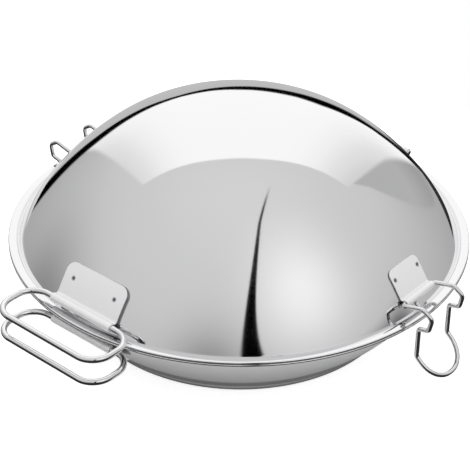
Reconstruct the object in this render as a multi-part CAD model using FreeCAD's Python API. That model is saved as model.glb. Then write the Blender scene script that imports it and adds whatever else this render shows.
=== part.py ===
"""Cataplana: a two-part steel steaming pan with a domed lid.

The pan is a flanged bowl on a bonded disc base.  The lid is a deep dome that seats on the
pan's flange and opens on a hinge beside the rim.  Opposite the hinge each half has a wire
handle, one above the other, held in a curled plate spot-welded to the shell.  Two wire latches
hang in curled plates on the lid and hook under the pan's flange.  Millimetres, Z up, the origin
under the centre of the base.  The handles and the hinge lie on the X axis and the latches on
the Y axis.
"""
import FreeCAD, Part
import math
import os

V = FreeCAD.Vector

# Shells
sheet = 0.8
rim_radius = 160.0
pan_height = 58.0
dome_height = 90.0
seat_gap = 0.2
hem_width = 4.0
hem_round = 0.78

# Pan wall and floor
floor_corner_radius = 114.0
wall_top_radius = 155.0
wall_bow = 1.6
knuckle_radius = 6.0
mouth_bend = 0.6

# Bonded base: an aluminium core inside a steel cup
base_radius = 112.0
cap_sheet = 0.8
core_height = 3.9
cap_round = 1.5
skirt_round = 0.3

# Lid: crown, shoulder and side arcs, then a bead that drops into the pan's mouth
crown_radius = 364.0
crown_angle = 4.3
shoulder_radius = 133.5
side_radius = 210.0
bead_depth = 0.8
bead_gap = 0.3
bead_flat = 0.5
root_bend = 0.5
riser_bend = 0.5

# Curled plates and the wires that they hold
plate_sheet = 0.9
plate_gap = 0.02
nub_radius = 1.6
dimple_radius = 1.2
dimple_depth = 0.5
dimple_floor = 0.25

# Handles: wire loops, crimped in their plates
loop_wire = 4.0
loop_fit = 0.03
loop_half_length = 44.7
loop_depth = 33.6
loop_corner = 14.0
lid_loop_rise = 7.0
pan_loop_drop = 9.3
handle_plate_width = 52.0
handle_plate_reach = 21.5
handle_plate_corner = 6.5
handle_weld_spacing = 36.0
handle_weld_inset = 10.1
handle_crease = 2.2
lid_handle_stand = 0.4
pan_handle_stand = 0.3
handle_wrap = 250.0

# Latches: sprung wire bails that turn in their plates
bail_wire = 3.0
bail_fit = 0.08
bail_half_width = 17.6
bail_elbow = 2.4
latch_pin_rise = 10.0
latch_plate_width = 30.0
latch_plate_reach = 19.0
latch_plate_corner = 4.5
latch_weld_spacing = 24.5
latch_weld_inset = 7.3
latch_crease = 2.0
latch_stand = 0.35
latch_wrap = 262.0

# Latch wire, shut: from the pin over the rim, hooked under it, down the wall to the pull
crest_over = 4.3
crest_lift = 3.1
crest_bend = 5.0
nose_over = 7.9
nose_drop = 1.3
nose_bend = 4.0
heel_over = 1.2
heel_drop = 8.0
heel_bend = 2.6
hook_depth = 5.6
hook_drop = 5.2
hook_bend = 2.4
leg_length = 21.4
leg_slope = 57.0
ankle_bend = 3.0
pull_length = 21.6
pull_flare = 14.5
pull_bend = 16.8

# Swing of the latch wires from shut to the released pose in which they are drawn
latch_release = 34.0

# Hinge: two knuckles on the pan's leaf, one on the lid's between them, on a fixed pin
hinge_wire = 4.0
hinge_over = 6.0
hinge_grip = 0.03
hinge_fit = 0.08
hinge_end = 0.6
hinge_leaf_width = 60.0
hinge_leaf_corner = 6.5
hinge_knuckle_width = 22.0
hinge_side_gap = 0.25
hinge_slot = 8.5
hinge_pin_over = 1.2
hinge_weld_spacing = 38.0
hinge_weld_inset = 7.0
hinge_wrap = 285.0
lid_leaf_crease = 22.0
lid_leaf_reach = 18.0
pan_leaf_crease = 20.0
pan_leaf_reach = 16.0

# Length by which cutting and probing shapes overrun what they cut
overrun = 5.0

# Bearings of the handles and the latches; the hinge lies at zero
back_bearing = 90.0
left_bearing = 180.0
front_bearing = 270.0

floor_level = cap_sheet + core_height
lid_seat = pan_height + seat_gap
lid_top = pan_height + dome_height
bead_level = pan_height - bead_depth

AXIS = V(0, 0, 1)


def at(p):
    """A point of the radius-height plane as a 3-D point of the XZ plane."""
    return V(p[0], 0, p[1])


def polar(centre, radius, angle):
    return (centre[0] + radius * math.cos(angle), centre[1] + radius * math.sin(angle))


def bearing(a, b):
    """Angle of the direction from a to b."""
    return math.atan2(b[1] - a[1], b[0] - a[0])


def distance(a, b):
    return math.hypot(b[0] - a[0], b[1] - a[1])


def line(a, b):
    return Part.makeLine(at(a), at(b))


def arc(centre, radius, start, end):
    """Arc of a circle between two angles, by way of the angle halfway."""
    middle = (start + end) / 2
    points = [at(polar(centre, radius, angle)) for angle in (start, middle, end)]
    return Part.Arc(*points).toShape()


def revolved(edges):
    face = Part.Face(Part.Wire(Part.__sortEdges__(edges)))
    return face.revolve(V(0, 0, 0), AXIS, 360)


def rounded(solid, marks):
    """Fillet each circular edge that passes through a marked (radius, height), by its size."""
    for (radius, height), size in marks:
        edges = []
        for edge in solid.Edges:
            if edge.Degenerated or not isinstance(edge.Curve, Part.Circle):
                continue
            centre = edge.Curve.Center
            near = distance((edge.Curve.Radius, centre.z), (radius, height))
            if near < sheet / 10:
                edges.append(edge)
        solid = solid.makeFillet(size, edges)
    return solid


def clean(solid):
    """One solid with its split faces merged."""
    return solid.removeSplitter().Solids[0]


# ---- Pan

class Arc:
    """A sheet's outer arc: its centre and radius, and its radius at a height."""

    def __init__(self, centre, radius):
        self.centre = centre
        self.radius = radius

    def reach(self, height, inset=0.0):
        rise = height - self.centre[1]
        return self.centre[0] + math.sqrt((self.radius - inset) ** 2 - rise ** 2)

    def angle(self, height, inset=0.0):
        return bearing(self.centre, (self.reach(height, inset), height))


def wall_arc():
    """Outer arc of the pan's wall, bowed from the floor's corner to the flange."""
    foot = (floor_corner_radius, floor_level)
    top = (wall_top_radius, pan_height - sheet)
    chord = distance(foot, top)
    radius = chord ** 2 / (8 * wall_bow) + wall_bow / 2
    middle = ((foot[0] + top[0]) / 2, (foot[1] + top[1]) / 2)
    inward = bearing(foot, top) + math.pi / 2
    return Arc(polar(middle, radius - wall_bow, inward), radius)


def pan_shell(wall):
    """Flat floor, bent up into the bowed wall and out into a flange hemmed under at its edge."""
    under = pan_height - sheet
    hem_start = rim_radius - hem_width
    hem_level = under - sheet
    low = floor_level + knuckle_radius
    high = under - mouth_bend
    knuckle = (wall.reach(low, knuckle_radius), low)
    mouth = (wall.reach(high, -mouth_bend), high)
    down, up = -math.pi / 2, math.pi / 2
    foot = bearing(wall.centre, knuckle)
    top = bearing(wall.centre, mouth)
    back = bearing(mouth, wall.centre)
    edges = [
        line((0, floor_level), (knuckle[0], floor_level)),
        arc(knuckle, knuckle_radius, down, foot),
        arc(wall.centre, wall.radius, foot, top),
        arc(mouth, mouth_bend, back, up),
        line((mouth[0], under), (hem_start, under)),
        line((hem_start, under), (hem_start, hem_level)),
        line((hem_start, hem_level), (rim_radius, hem_level)),
        line((rim_radius, hem_level), (rim_radius, pan_height)),
        line((rim_radius, pan_height), (mouth[0], pan_height)),
        arc(mouth, mouth_bend + sheet, back, up),
        arc(wall.centre, wall.radius - sheet, foot, top),
        arc(knuckle, knuckle_radius - sheet, down, foot),
        line((knuckle[0], floor_level + sheet), (0, floor_level + sheet)),
        line((0, floor_level + sheet), (0, floor_level)),
    ]
    marks = [
        ((rim_radius, hem_level), hem_round),
        ((rim_radius, pan_height), hem_round),
    ]
    return rounded(revolved(edges), marks)


def base_core():
    return Part.makeCylinder(base_radius - cap_sheet, core_height, V(0, 0, cap_sheet))


def base_cap():
    """Steel cup around the core, rounded under and at its lip."""
    cup = Part.makeCylinder(base_radius, floor_level)
    cup = rounded(cup, [((base_radius, 0), cap_round), ((base_radius, floor_level), skirt_round)])
    hollow = Part.makeCylinder(base_radius - cap_sheet, floor_level, V(0, 0, cap_sheet))
    return cup.cut(hollow)


# ---- Lid

def mouth_run(wall):
    """How far the mouth widens per unit of height, just above the bead's level."""
    low = wall.reach(bead_level, sheet)
    return (wall.reach(pan_height, sheet) - low) / bead_depth


def bead_corners(wall):
    """Radii of the bead's underside and upper side where its riser starts."""
    under = wall.reach(bead_level, sheet) - bead_gap
    slope = math.atan(1 / mouth_run(wall))
    upper = under - sheet * math.tan(slope / 2)
    return under, upper


def dome_arcs(wall):
    """Centres of the crown, shoulder and side arcs, and the angles where they meet."""
    upper = bead_corners(wall)[1]
    foot = (upper - bead_flat, bead_level + sheet)
    first = math.radians(90 - crown_angle)
    crown = (0.0, lid_top - crown_radius)
    shoulder = polar(crown, crown_radius - shoulder_radius, first)
    step = shoulder_radius - side_radius
    span = distance(shoulder, foot)
    share = (span ** 2 + step ** 2 - side_radius ** 2) / (2 * step * span)
    second = bearing(shoulder, foot) + math.acos(share)
    side = polar(shoulder, step, second)
    return crown, shoulder, side, first, second, foot


def side_arc(wall):
    return Arc(dome_arcs(wall)[2], side_radius)


def dome_edges(wall, inset, last):
    """Arcs of the dome from the axis to an angle of its side, at a depth under its surface."""
    crown, shoulder, side, first, second, foot = dome_arcs(wall)
    return [
        arc(crown, crown_radius - inset, math.pi / 2, first),
        arc(shoulder, shoulder_radius - inset, first, second),
        arc(side, side_radius - inset, second, last),
    ]


def lid_shell(wall):
    """Dome bent out into the locating bead, then a flange hemmed under at its edge."""
    side = side_arc(wall)
    under, upper = bead_corners(wall)
    run = mouth_run(wall)
    top = lid_seat + 2 * sheet
    inner = lid_seat + sheet
    hem_start = rim_radius - hem_width
    level = bead_level + sheet + root_bend
    root = (side.reach(level, -root_bend), level)
    last = bearing(side.centre, root)
    back, down = bearing(root, side.centre), -math.pi / 2
    bead_top = (upper, bead_level + sheet)
    bead_under = (under, bead_level)
    riser_top = (upper + run * (top - bead_level - sheet), top)
    riser_under = (under + run * (inner - bead_level), inner)
    edges = dome_edges(wall, 0.0, last) + dome_edges(wall, sheet, last)
    edges += [
        line((0, lid_top - sheet), (0, lid_top)),
        arc(root, root_bend, back, down),
        line((root[0], bead_level + sheet), bead_top),
        line(bead_top, riser_top),
        line(riser_top, (rim_radius, top)),
        line((rim_radius, top), (rim_radius, lid_seat)),
        line((rim_radius, lid_seat), (hem_start, lid_seat)),
        line((hem_start, lid_seat), (hem_start, inner)),
        line((hem_start, inner), riser_under),
        line(riser_under, bead_under),
        line(bead_under, (root[0], bead_level)),
        arc(root, root_bend + sheet, back, down),
    ]
    marks = [
        (riser_top, riser_bend + sheet),
        (riser_under, riser_bend),
        (bead_under, riser_bend),
        ((rim_radius, top), hem_round),
        ((rim_radius, lid_seat), hem_round),
    ]
    return rounded(revolved(edges), marks)


# ---- Solids that fill the shells, for fitting the welds to them

def dome_fill(wall):
    level = bead_level + sheet
    foot = (side_arc(wall).reach(level), level)
    edges = dome_edges(wall, 0.0, side_arc(wall).angle(level))
    edges += [line(foot, (0, level)), line((0, level), (0, lid_top))]
    return revolved(edges)


def bowl_fill(wall):
    top = pan_height - sheet
    foot = (wall.reach(floor_level), floor_level)
    edges = [
        line((0, floor_level), foot),
        arc(wall.centre, wall.radius, wall.angle(floor_level), wall.angle(top)),
        line((wall.reach(top), top), (0, top)),
        line((0, top), (0, floor_level)),
    ]
    return revolved(edges)


# ---- Curled plates

def pin_at(surface, height, stand):
    """Axis of a wire held off a surface by a stand, at a height."""
    rise = height - surface.centre[1]
    away = surface.radius + stand
    return (surface.centre[0] + math.sqrt(away ** 2 - rise ** 2), height)


class Curl:
    """Section of a plate: it follows a surface, creases outward and curls round a pin."""

    def __init__(self, surface, pin, turn, wire, fit, crease, reach, wrap):
        self.surface = surface
        self.pin = pin
        self.turn = turn
        self.lie = surface.radius + plate_gap + plate_sheet / 2
        self.curl = wire / 2 + fit + plate_sheet / 2
        self.crease = crease
        self.reach = reach
        self.wrap = math.radians(wrap)
        far = self.lie + crease
        near = self.curl + crease
        span = distance(surface.centre, pin)
        share = (far ** 2 + span ** 2 - near ** 2) / (2 * far * span)
        self.start = bearing(surface.centre, pin) + turn * math.acos(share)
        self.hub = polar(surface.centre, far, self.start)

    def angle(self, along):
        """Angle about the surface's centre of a place so far along the plate."""
        return self.start + self.turn * along / self.lie

    def face(self):
        half = plate_sheet / 2
        end = self.angle(self.reach)
        to_surface = bearing(self.hub, self.surface.centre)
        to_pin = bearing(self.hub, self.pin)
        swing = (to_pin - to_surface + math.pi) % (2 * math.pi) - math.pi
        from_pin = bearing(self.pin, self.hub)
        last = from_pin - self.turn * self.wrap
        edges = []
        for side in (-half, half):
            edges.append(arc(self.surface.centre, self.lie + side, end, self.start))
            edges.append(arc(self.hub, self.crease - side, to_surface, to_surface + swing))
            edges.append(arc(self.pin, self.curl + side, from_pin, last))
        for centre, radius, angle in (
            (self.surface.centre, self.lie, end),
            (self.pin, self.curl, last),
        ):
            edges.append(line(polar(centre, radius - half, angle),
                              polar(centre, radius + half, angle)))
        return Part.Face(Part.Wire(Part.__sortEdges__(edges)))

    def plate(self, width, corner):
        """The section drawn out across the plate, with its two far corners rounded."""
        face = self.face()
        face.translate(V(0, -width / 2, 0))
        solid = face.extrude(V(0, width, 0))
        tip = at(polar(self.surface.centre, self.lie, self.angle(self.reach)))
        corners = []
        for edge in solid.Edges:
            middle = edge.CenterOfMass
            away = V(middle.x, 0, middle.z).sub(tip).Length
            if away < plate_sheet / 4 and abs(edge.Length - plate_sheet) < plate_sheet / 10:
                corners.append(edge)
        return solid.makeFillet(corner, corners)

    def weld(self, plate, inset, spacing, fill):
        """Two projection welds: a nub under the plate down to the shell and a dimple over it."""
        angle = self.angle(self.reach - inset)
        seat = polar(self.surface.centre, self.lie, angle)
        outward = V(math.cos(angle), 0, math.sin(angle))
        for side in (-1, 1):
            place = at(seat) + V(0, side * spacing / 2, 0)
            start = place - outward * overrun
            nub = Part.makeCylinder(nub_radius, overrun, start, outward)
            plate = plate.fuse(nub.cut(fill))
        for side in (-1, 1):
            place = at(seat) + V(0, side * spacing / 2, 0) + outward * (plate_sheet / 2)
            deep = place - outward * dimple_depth
            wide = dimple_radius * 2 - dimple_floor
            dimple = Part.makeCone(dimple_floor, wide, dimple_depth * 2, deep, outward)
            plate = plate.cut(dimple)
        return clean(plate)


# ---- Wires

def wire_path(points, bends):
    """Lines through the points, with each corner between them bent to its radius."""
    edges = []
    start = points[0]
    for before, corner, after, bend in zip(points, points[1:], points[2:], bends):
        back = (before - corner).normalize()
        ahead = (after - corner).normalize()
        half = back.getAngle(ahead) / 2
        trim = bend / math.tan(half)
        inner = (back + ahead).normalize()
        middle = corner + inner * (bend / math.sin(half) - bend)
        first = corner + back * trim
        last = corner + ahead * trim
        edges.append(Part.makeLine(start, first))
        edges.append(Part.Arc(first, middle, last).toShape())
        start = last
    edges.append(Part.makeLine(start, points[-1]))
    return Part.Wire(edges)


def wire_ring(points, bends, thickness):
    """A closed wire from half its path, which starts and ends square on the mirror plane."""
    path = wire_path(points, bends)
    heading = (points[1] - points[0]).normalize()
    circle = Part.Wire(Part.makeCircle(thickness / 2, points[0], heading))
    half = path.makePipeShell([circle], True, False)
    other = half.mirror(V(0, 0, 0), V(0, 1, 0))
    return clean(half.fuse(other))


def handle_loop(pin):
    inner = pin[0]
    outer = pin[0] + loop_depth
    points = [V(inner, 0, pin[1]), V(inner, loop_half_length, pin[1]),
              V(outer, loop_half_length, pin[1]), V(outer, 0, pin[1])]
    return wire_ring(points, [loop_corner, loop_corner], loop_wire)


def latch_path(pin):
    """Radius and height of the latch wire's corners, shut, after its elbow at the pin."""
    over = lid_seat + 2 * sheet
    under = pan_height - 2 * sheet
    slope = math.radians(leg_slope)
    flare = math.radians(pull_flare)
    hook = (rim_radius - hook_depth, under - hook_drop)
    ankle = (hook[0] - leg_length * math.cos(slope), hook[1] - leg_length * math.sin(slope))
    foot = (ankle[0] + pull_length * math.sin(flare), ankle[1] - pull_length * math.cos(flare))
    return [
        (rim_radius + crest_over, over + crest_lift),
        (rim_radius + nose_over, under - nose_drop),
        (rim_radius + heel_over, under - heel_drop),
        hook,
        ankle,
        foot,
    ]


def latch_bail(pin):
    """Latch wire: a pin, two arms over the rim, two hooks under it and a pull between them."""
    side = bail_half_width
    corners = latch_path(pin)
    points = [at(pin), at(pin) + V(0, side, 0)]
    points += [at(corner) + V(0, side, 0) for corner in corners]
    points.append(at(corners[-1]))
    bends = [bail_elbow, crest_bend, nose_bend, heel_bend, hook_bend, ankle_bend, pull_bend]
    bail = wire_ring(points, bends, bail_wire)
    bail.rotate(at(pin), V(0, 1, 0), -latch_release)
    return bail


# ---- Hinge

def hinge_pin(pin):
    """Fixed pin through both leaves, rounded at its ends."""
    half = hinge_leaf_width / 2 + hinge_pin_over
    rod = Part.makeCylinder(hinge_wire / 2, 2 * half, at(pin) - V(0, half, 0), V(0, 1, 0))
    ends = [edge for edge in rod.Edges if edge.Closed]
    return rod.makeFillet(hinge_end, ends)


def hinge_cutter(pin, start, width):
    """Block that clears a stretch of a leaf's knuckles, from one side to so much further."""
    corner = at(pin) + V(-hinge_slot, start, -hinge_slot * 2)
    return Part.makeBox(hinge_slot * 2, width, hinge_slot * 4, corner)


def hinge_leaf(surface, pin, turn, fit, crease, reach, fill, cutters):
    curl = Curl(surface, pin, turn, hinge_wire, fit, crease, reach, hinge_wrap)
    leaf = curl.plate(hinge_leaf_width, hinge_leaf_corner)
    for cutter in cutters:
        leaf = leaf.cut(cutter)
    return curl.weld(clean(leaf), hinge_weld_inset, hinge_weld_spacing, fill)


def hinge_leaves(wall, side, pin, bowl, dome):
    """The pan's leaf, slotted for the lid's knuckle, and the lid's, cut back at both sides."""
    inner = hinge_knuckle_width / 2
    slot = inner + hinge_side_gap
    half = hinge_leaf_width / 2
    middle = [hinge_cutter(pin, -slot, 2 * slot)]
    sides = [hinge_cutter(pin, inner, half), hinge_cutter(pin, -inner - half, half)]
    on_pan = hinge_leaf(wall, pin, -1, hinge_grip, pan_leaf_crease, pan_leaf_reach, bowl, middle)
    on_lid = hinge_leaf(side, pin, 1, hinge_fit, lid_leaf_crease, lid_leaf_reach, dome, sides)
    return on_pan, on_lid


def turned(solid, angle):
    copy = solid.copy()
    copy.rotate(V(0, 0, 0), AXIS, angle)
    return copy


def handle_parts(surface, pin, turn, fill):
    curl = Curl(surface, pin, turn, loop_wire, loop_fit, handle_crease,
                handle_plate_reach, handle_wrap)
    plate = curl.plate(handle_plate_width, handle_plate_corner)
    plate = curl.weld(plate, handle_weld_inset, handle_weld_spacing, fill)
    return plate, handle_loop(pin)


def build():
    wall = wall_arc()
    side = side_arc(wall)
    parts = {
        "pan_shell": pan_shell(wall),
        "base_core": base_core(),
        "base_cap": base_cap(),
        "lid_shell": lid_shell(wall),
    }
    stand = loop_wire / 2 + loop_fit + plate_sheet
    lid_pin = pin_at(side, pan_height + lid_loop_rise, stand + lid_handle_stand)
    pan_pin = pin_at(wall, pan_height - pan_loop_drop, stand + pan_handle_stand)
    dome = dome_fill(wall)
    bowl = bowl_fill(wall)
    lid_plate, lid_loop = handle_parts(side, lid_pin, 1, dome)
    pan_plate, pan_loop = handle_parts(wall, pan_pin, -1, bowl)
    parts["lid_handle_plate"] = turned(lid_plate, left_bearing)
    parts["lid_handle_loop"] = turned(lid_loop, left_bearing)
    parts["pan_handle_plate"] = turned(pan_plate, left_bearing)
    parts["pan_handle_loop"] = turned(pan_loop, left_bearing)
    hinge = (rim_radius + hinge_over, pan_height + seat_gap / 2)
    on_pan, on_lid = hinge_leaves(wall, side, hinge, bowl, dome)
    parts["pan_hinge_leaf"] = on_pan
    parts["hinge_pin"] = hinge_pin(hinge)
    parts["lid_hinge_leaf"] = on_lid
    stand = bail_wire / 2 + bail_fit + plate_sheet + latch_stand
    pin = pin_at(side, pan_height + latch_pin_rise, stand)
    curl = Curl(side, pin, 1, bail_wire, bail_fit, latch_crease, latch_plate_reach, latch_wrap)
    plate = curl.plate(latch_plate_width, latch_plate_corner)
    plate = curl.weld(plate, latch_weld_inset, latch_weld_spacing, dome)
    bail = latch_bail(pin)
    for name, angle in (("front", front_bearing), ("back", back_bearing)):
        parts["latch_plate_" + name] = turned(plate, angle)
        parts["latch_bail_" + name] = turned(bail, angle)
    print("lid handle wire at", [round(v, 3) for v in lid_pin])
    print("pan handle wire at", [round(v, 3) for v in pan_pin])
    print("latch pin at", [round(v, 3) for v in pin])
    print("hinge pin at", [round(v, 3) for v in hinge])
    return parts


os.makedirs("parts", exist_ok=True)
for name, shape in build().items():
    box = shape.BoundBox
    print("%-26s solids %d valid %s volume %.1f z %.2f..%.2f" % (
        name, len(shape.Solids), shape.isValid(), shape.Volume, box.ZMin, box.ZMax))
    shape.exportStep("parts/" + name + ".step")
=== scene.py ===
"""Look of the cataplana: polished spun steel halves, satin curled plates, bright wire fittings."""
import math

import bmesh
import bpy
from mathutils import Matrix, Vector


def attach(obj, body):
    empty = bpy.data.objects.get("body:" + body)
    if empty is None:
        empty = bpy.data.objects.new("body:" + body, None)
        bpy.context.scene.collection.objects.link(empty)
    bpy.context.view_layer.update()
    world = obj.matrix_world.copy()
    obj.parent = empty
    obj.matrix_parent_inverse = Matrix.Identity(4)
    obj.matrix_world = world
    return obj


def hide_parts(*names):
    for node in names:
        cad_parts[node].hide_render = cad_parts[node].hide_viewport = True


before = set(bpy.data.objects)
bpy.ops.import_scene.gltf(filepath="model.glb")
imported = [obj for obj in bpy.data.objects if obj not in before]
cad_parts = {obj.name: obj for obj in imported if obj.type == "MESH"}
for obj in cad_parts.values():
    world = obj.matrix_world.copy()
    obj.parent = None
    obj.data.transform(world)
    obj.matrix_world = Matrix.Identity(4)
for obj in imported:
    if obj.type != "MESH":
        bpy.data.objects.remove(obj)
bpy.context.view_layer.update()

MM = 0.001
DEG = math.pi / 180

# Sizes of the real pieces, in millimetres, as in the part's source
SHEET = 0.8
RIM = 160.0
PAN_HEIGHT = 58.0
DOME_HEIGHT = 90.0
SEAT_GAP = 0.2
HEM_WIDTH = 4.0
HEM_ROUND = 0.78
FLOOR_CORNER = 114.0
WALL_TOP = 155.0
WALL_BOW = 1.6
KNUCKLE = 6.0
MOUTH_BEND = 0.6
BASE = 112.0
CUP_SHEET = 0.8
CORE_HEIGHT = 3.9
CUP_ROUND = 1.5
CUP_LIP_ROUND = 0.3
CROWN = 364.0
CROWN_ANGLE = 4.3
SHOULDER = 133.5
SIDE = 210.0
BEAD_DEPTH = 0.8
BEAD_GAP = 0.3
BEAD_FLAT = 0.5
ROOT_BEND = 0.5
RISER_BEND = 0.5
PLATE_SHEET = 0.9
PLATE_GAP = 0.02
FLOOR_LEVEL = CUP_SHEET + CORE_HEIGHT
LID_SEAT = PAN_HEIGHT + SEAT_GAP
LID_TOP = PAN_HEIGHT + DOME_HEIGHT
BEAD_LEVEL = PAN_HEIGHT - BEAD_DEPTH

LOOP = dict(wire=4.0, fit=0.03, half=44.7, depth=33.6, corner=14.0)
# Latch wire: corners out and up from the rim, or in and down, then its legs and its pull
BAIL = dict(wire=3.0, fit=0.08, half=17.6, elbow=2.4, over=(4.3, 3.1), drop=(7.9, 1.3),
            heel=(1.2, 8.0), hook=(5.6, 5.2), leg=21.4, leg_slope=57.0, pull=21.6,
            pull_flare=14.5, bends=(5.0, 4.0, 2.6, 2.4, 3.0, 16.8))
HANDLE_PLATE = dict(width=52.0, reach=21.5, corner=6.5, spacing=36.0, inset=10.1,
                    crease=2.2, wrap=250.0, wire=4.0, fit=0.03)
LATCH_PLATE = dict(width=30.0, reach=19.0, corner=4.5, spacing=24.5, inset=7.3,
                   crease=2.0, wrap=262.0, wire=3.0, fit=0.08)
PAN_LEAF = dict(width=60.0, reach=16.0, corner=6.5, spacing=38.0, inset=7.0, crease=20.0,
                wrap=285.0, wire=4.0, fit=0.03, slot=8.5,
                knuckles=((-30.0, -11.25), (11.25, 30.0)))
LID_LEAF = dict(width=60.0, reach=18.0, corner=6.5, spacing=38.0, inset=7.0, crease=22.0,
                wrap=285.0, wire=4.0, fit=0.08, slot=8.5, knuckles=((-11.0, 11.0),))
HINGE_PIN = dict(radius=2.0, half=31.2, end=0.6)
RELEASE = 34.0

# Pins of the fittings: their level from the pan's flange, and the room behind their curls
LID_PIN_RISE, LID_PIN_ROOM = 7.0, 0.4
PAN_PIN_DROP, PAN_PIN_ROOM = 9.3, 0.3
LATCH_PIN_RISE, LATCH_PIN_ROOM = 10.0, 0.35
HINGE_STAND = 6.0

# Spot welds: the dent in the plate's face, the burnt ring round it, the nub behind it
DENT_DEPTH, DENT_RADIUS, DENT_SHAPE = 0.45, 1.3, 0.7
BURN_RADIUS, BURN_FADE = 1.9, 1.1
NUB_RADIUS, NUB_HALF, NUB_SINK, NUB_SIDES = 1.6, 0.8, 0.9, 24

# Fineness of the meshes: sheet strips, straight wire, and points taken as one
STRIP_PITCH, EDGE_SHARE = 0.45, 0.7
STRAIGHT_PITCH = 3.0
POINTS_APART = 0.004

HANDLE_SIDE = 180.0
HINGE_SIDE = 0.0
ENDS = (("back", 90.0), ("front", 270.0))


# ---- Plane geometry of the sheet sections: points are (radius, height)

def polar(centre, radius, angle):
    return (centre[0] + radius * math.cos(angle), centre[1] + radius * math.sin(angle))


def bearing(a, b):
    return math.atan2(b[1] - a[1], b[0] - a[0])


def sweep(centre, radius, start, end, pitch):
    """Points along an arc, close enough together for a clean reflection."""
    count = max(3, math.ceil(abs(end - start) * radius / pitch))
    return [polar(centre, radius, start + (end - start) * i / count) for i in range(count + 1)]


def stride(a, b, pitch):
    """Points along a straight run."""
    count = max(1, math.ceil(math.dist(a, b) / pitch))
    return [(a[0] + (b[0] - a[0]) * i / count, a[1] + (b[1] - a[1]) * i / count)
            for i in range(count + 1)]


def turn_corner(before, corner, after, bend, pieces=5):
    """Points of a corner of a section rounded to a radius."""
    c = Vector(corner)
    back = (Vector(before) - c).normalized()
    ahead = (Vector(after) - c).normalized()
    half = back.angle(ahead) / 2
    centre = c + (back + ahead).normalized() * (bend / math.sin(half))
    first = c + back * (bend / math.tan(half))
    last = c + ahead * (bend / math.tan(half))
    start = bearing(centre, first)
    swing = (bearing(centre, last) - start + math.pi) % (2 * math.pi) - math.pi
    return [polar(centre, bend, start + swing * i / pieces) for i in range(pieces + 1)]


class Arc:
    def __init__(self, centre, radius):
        self.centre, self.radius = centre, radius

    def reach(self, height, inset=0.0):
        rise = height - self.centre[1]
        return self.centre[0] + math.sqrt((self.radius - inset) ** 2 - rise ** 2)


def wall_arc():
    foot, top = (FLOOR_CORNER, FLOOR_LEVEL), (WALL_TOP, PAN_HEIGHT - SHEET)
    radius = math.dist(foot, top) ** 2 / (8 * WALL_BOW) + WALL_BOW / 2
    middle = ((foot[0] + top[0]) / 2, (foot[1] + top[1]) / 2)
    return Arc(polar(middle, radius - WALL_BOW, bearing(foot, top) + math.pi / 2), radius)


WALL = wall_arc()
MOUTH_RUN = (WALL.reach(PAN_HEIGHT, SHEET) - WALL.reach(BEAD_LEVEL, SHEET)) / BEAD_DEPTH
BEAD_UNDER = WALL.reach(BEAD_LEVEL, SHEET) - BEAD_GAP
BEAD_UPPER = BEAD_UNDER - SHEET * math.tan(math.atan(1 / MOUTH_RUN) / 2)


def dome_arcs():
    foot = (BEAD_UPPER - BEAD_FLAT, BEAD_LEVEL + SHEET)
    first = (90 - CROWN_ANGLE) * DEG
    crown = (0.0, LID_TOP - CROWN)
    shoulder = polar(crown, CROWN - SHOULDER, first)
    step, span = SHOULDER - SIDE, math.dist(shoulder, foot)
    share = (span ** 2 + step ** 2 - SIDE ** 2) / (2 * step * span)
    second = bearing(shoulder, foot) + math.acos(share)
    return crown, shoulder, polar(shoulder, step, second), first, second


CROWN_HUB, SHOULDER_HUB, SIDE_HUB, FIRST, SECOND = dome_arcs()
DOME = Arc(SIDE_HUB, SIDE)


def pan_section():
    """Closed section of the pan: floor, knuckle, bowed wall, mouth bend and hemmed flange."""
    under = PAN_HEIGHT - SHEET
    hem, hem_level = RIM - HEM_WIDTH, under - SHEET
    low, high = FLOOR_LEVEL + KNUCKLE, under - MOUTH_BEND
    knuckle = (WALL.reach(low, KNUCKLE), low)
    mouth = (WALL.reach(high, -MOUTH_BEND), high)
    foot, top = bearing(WALL.centre, knuckle), bearing(WALL.centre, mouth)
    back = bearing(mouth, WALL.centre)
    points = stride((0, FLOOR_LEVEL), (knuckle[0], FLOOR_LEVEL), 8)
    points += sweep(knuckle, KNUCKLE, -math.pi / 2, foot, 0.5)
    points += sweep(WALL.centre, WALL.radius, foot, top, 1.5)
    points += sweep(mouth, MOUTH_BEND, back, math.pi / 2, 0.12)
    points += [(hem, under), (hem, hem_level)]
    points += turn_corner((hem, hem_level), (RIM, hem_level), (RIM, PAN_HEIGHT), HEM_ROUND)
    points += turn_corner((RIM, hem_level), (RIM, PAN_HEIGHT), (hem, PAN_HEIGHT), HEM_ROUND)
    points += sweep(mouth, MOUTH_BEND + SHEET, math.pi / 2, back, 0.2)
    points += sweep(WALL.centre, WALL.radius - SHEET, top, foot, 2.5)
    points += sweep(knuckle, KNUCKLE - SHEET, foot, -math.pi / 2, 0.6)
    return points + stride((knuckle[0], FLOOR_LEVEL + SHEET), (0, FLOOR_LEVEL + SHEET), 8)


def dome_line(inset, last, pitch):
    points = sweep(CROWN_HUB, CROWN - inset, math.pi / 2, FIRST, pitch)
    points += sweep(SHOULDER_HUB, SHOULDER - inset, FIRST, SECOND, pitch)
    return points + sweep(SIDE_HUB, SIDE - inset, SECOND, last, pitch)


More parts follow.
